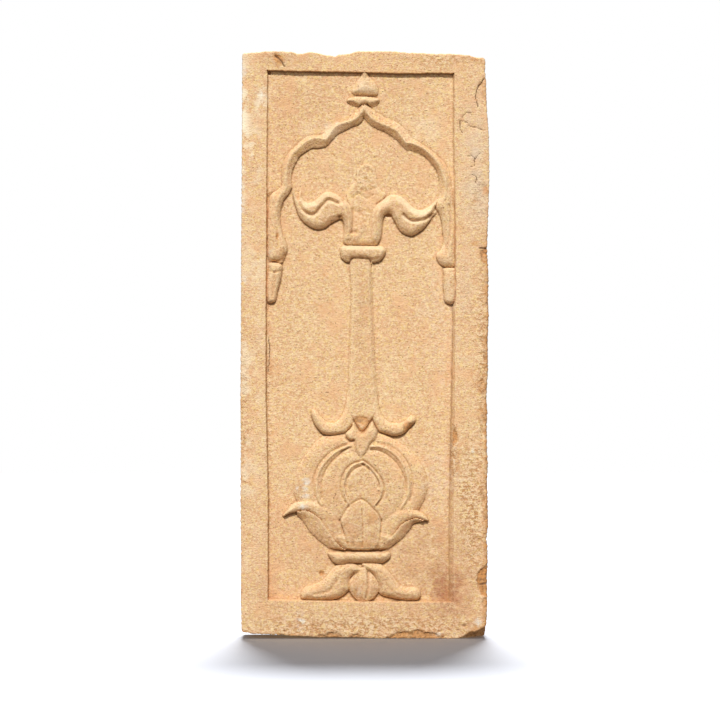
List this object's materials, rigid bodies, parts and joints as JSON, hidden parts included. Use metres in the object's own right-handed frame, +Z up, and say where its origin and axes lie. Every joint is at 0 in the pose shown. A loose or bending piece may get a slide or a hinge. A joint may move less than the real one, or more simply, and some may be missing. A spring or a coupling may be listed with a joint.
{
  "type": "stone relief panel",
  "caption": "Upright sandstone slab carved in low relief: a cusped arch over a column that rises from a vase, a lotus cup and a leafy foot, in a sunk field inside a plain border.",
  "frame": {"origin": "centre of the slab's flat back face, where it is fixed to a wall", "axes": "+Z up the slab, +Y out of its flat back into the wall, so the carved front faces -Y"},
  "size_m": [0.3897, 0.068, 0.9215],
  "materials": {
    "sandstone": "matt warm tan sandstone, hand chiselled, with rust-brown breaks and a few traces of white lime"
  },
  "bodies": {
    "root": {"stone_panel": "sandstone"}
  },
  "joints": []
}
